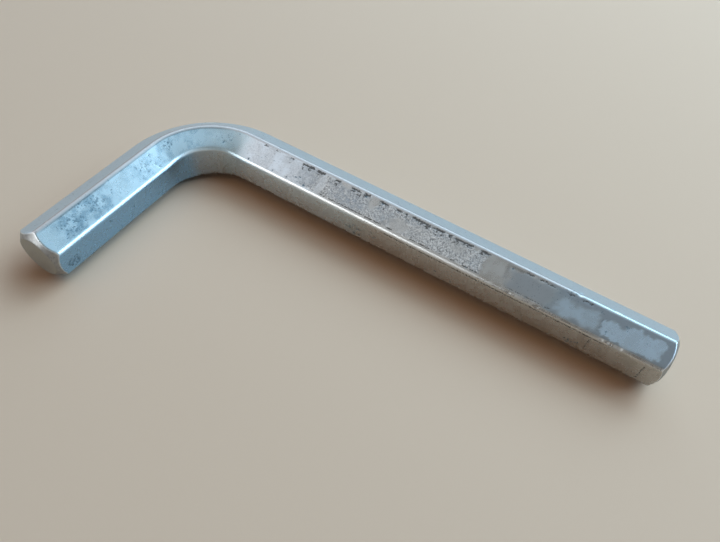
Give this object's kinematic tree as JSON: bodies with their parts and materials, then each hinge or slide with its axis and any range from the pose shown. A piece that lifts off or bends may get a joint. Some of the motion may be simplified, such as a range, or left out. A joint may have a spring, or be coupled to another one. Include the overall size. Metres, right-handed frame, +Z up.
{
  "type": "hex key",
  "caption": "L-shaped hex key bent from one hexagonal steel bar, with a long arm, a short arm and chamfered drive ends.",
  "frame": {"origin": "on the surface the key lies on, below the middle of its box", "axes": "+X along the long arm towards its end, -Y along the short arm towards its end, +Z up from the surface"},
  "size_m": [0.156, 0.07, 0.0158],
  "materials": {
    "plated_steel": "worn plated steel, satin, with pits and scaly patches on the long arm"
  },
  "bodies": {
    "root": {"hex_key": "plated_steel"}
  },
  "joints": []
}
